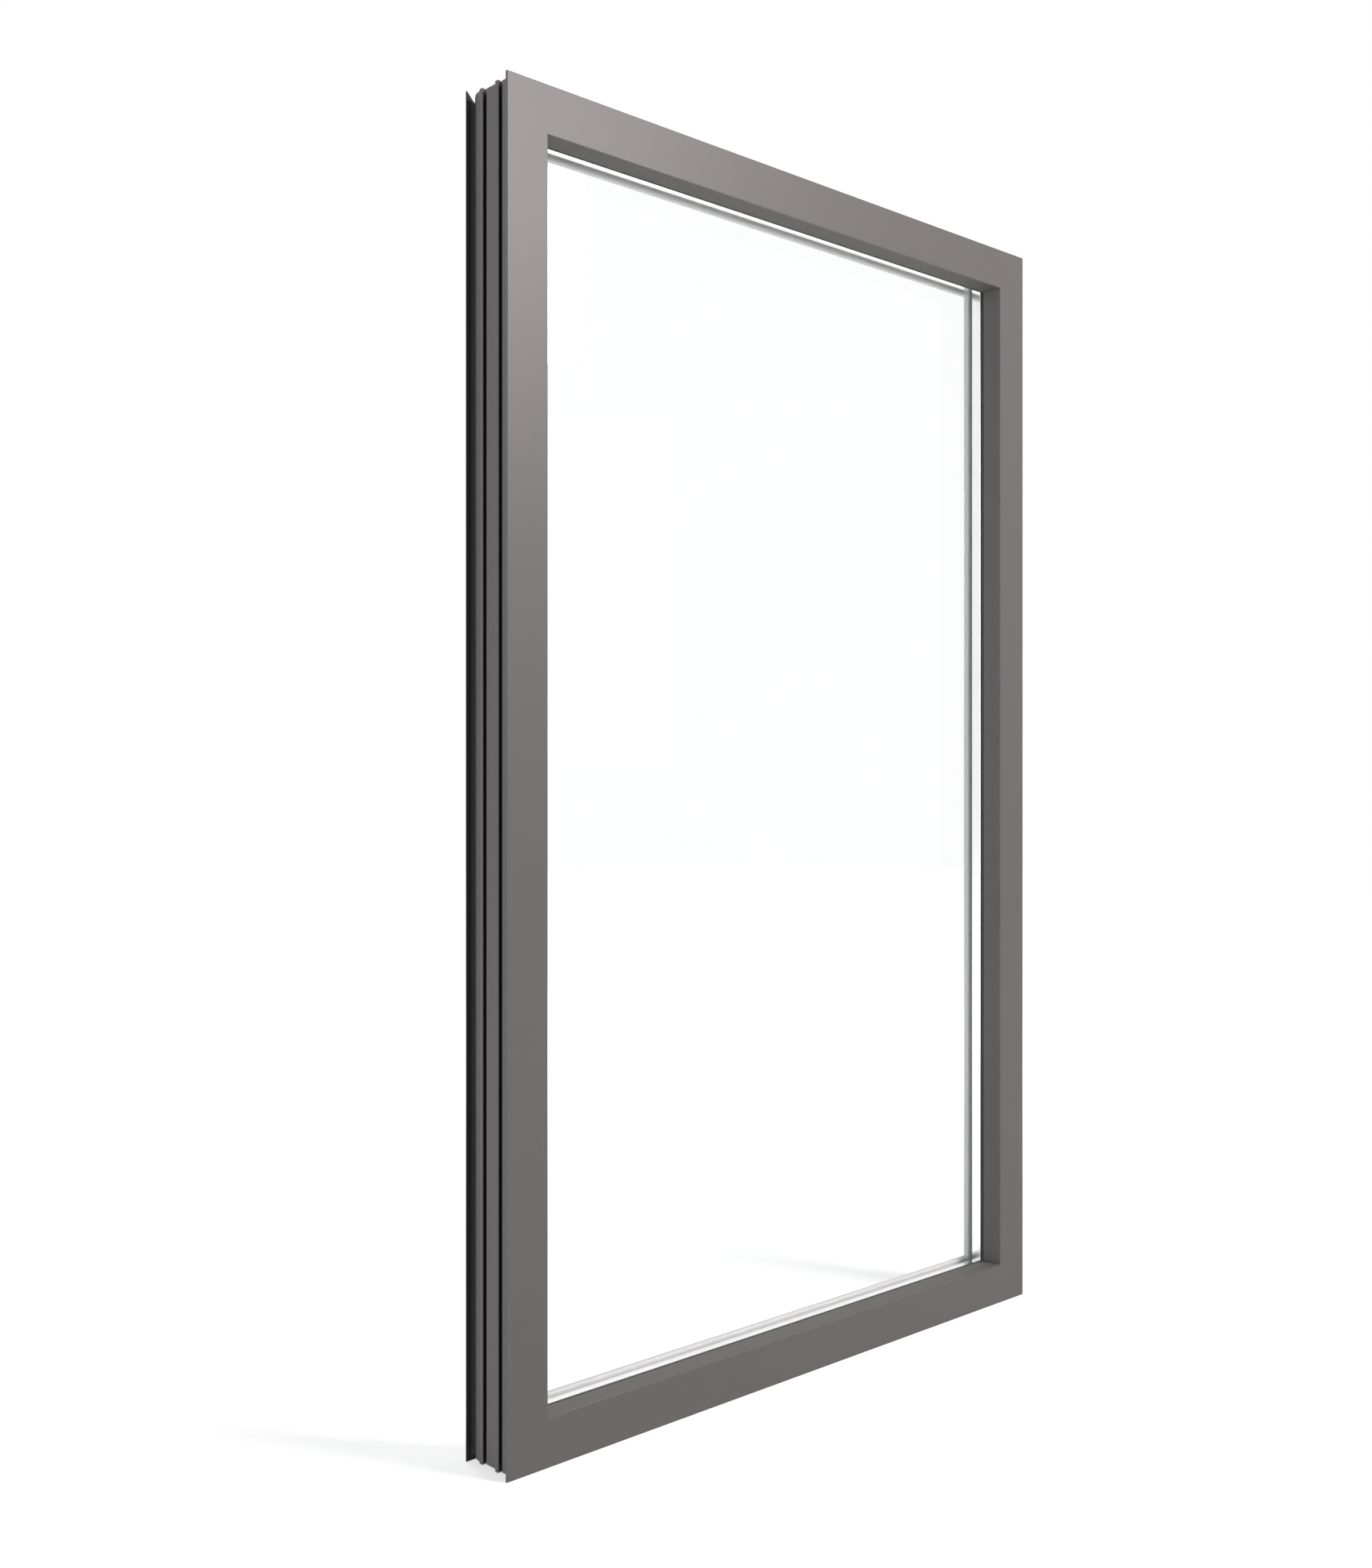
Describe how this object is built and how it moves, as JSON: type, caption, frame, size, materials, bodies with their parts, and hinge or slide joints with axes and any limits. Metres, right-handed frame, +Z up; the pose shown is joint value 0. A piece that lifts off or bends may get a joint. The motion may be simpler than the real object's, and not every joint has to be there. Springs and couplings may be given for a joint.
{
  "type": "fixed picture window",
  "caption": "Fixed picture window: a mitred hollow-profile frame with hooked ribs and a rear groove round a sealed double glass unit, held by glazing beads and gaskets.",
  "frame": {"origin": "on the flat land of the sill's underside between its two ribs, at mid width and mid depth", "axes": "+X to the right as seen from the face, +Y from the face towards the back, +Z up"},
  "size_m": [0.915, 0.077, 1.5],
  "materials": {
    "frame": "satin warm taupe grey coating over a hollow extruded profile, with the dark core bare in the slots, the groove and the fin",
    "bead": "satin white coating on the room side",
    "gasket": "matt black glazing gasket",
    "rear_gasket": "matt white glazing gasket",
    "spacer": "bright mill-finished hollow bar",
    "glass": "clear float glass",
    "setting_block": "moulded setting block"
  },
  "bodies": {
    "root": {"frame_sill": "frame", "frame_left": "frame", "frame_head": "frame", "frame_right": "frame", "glazing_bead_sill": "bead", "glazing_bead_left": "bead", "glazing_bead_head": "bead", "glazing_bead_right": "bead", "front_gasket_sill": "gasket", "front_gasket_left": "gasket", "front_gasket_head": "gasket", "front_gasket_right": "gasket", "rear_gasket_sill": "rear_gasket", "rear_gasket_left": "rear_gasket", "rear_gasket_head": "rear_gasket", "rear_gasket_right": "rear_gasket", "spacer_bar_sill": "spacer", "spacer_bar_left": "spacer", "spacer_bar_head": "spacer", "spacer_bar_right": "spacer", "front_pane": "glass", "rear_pane": "glass", "setting_block_left": "setting_block", "setting_block_right": "setting_block"}
  },
  "joints": []
}
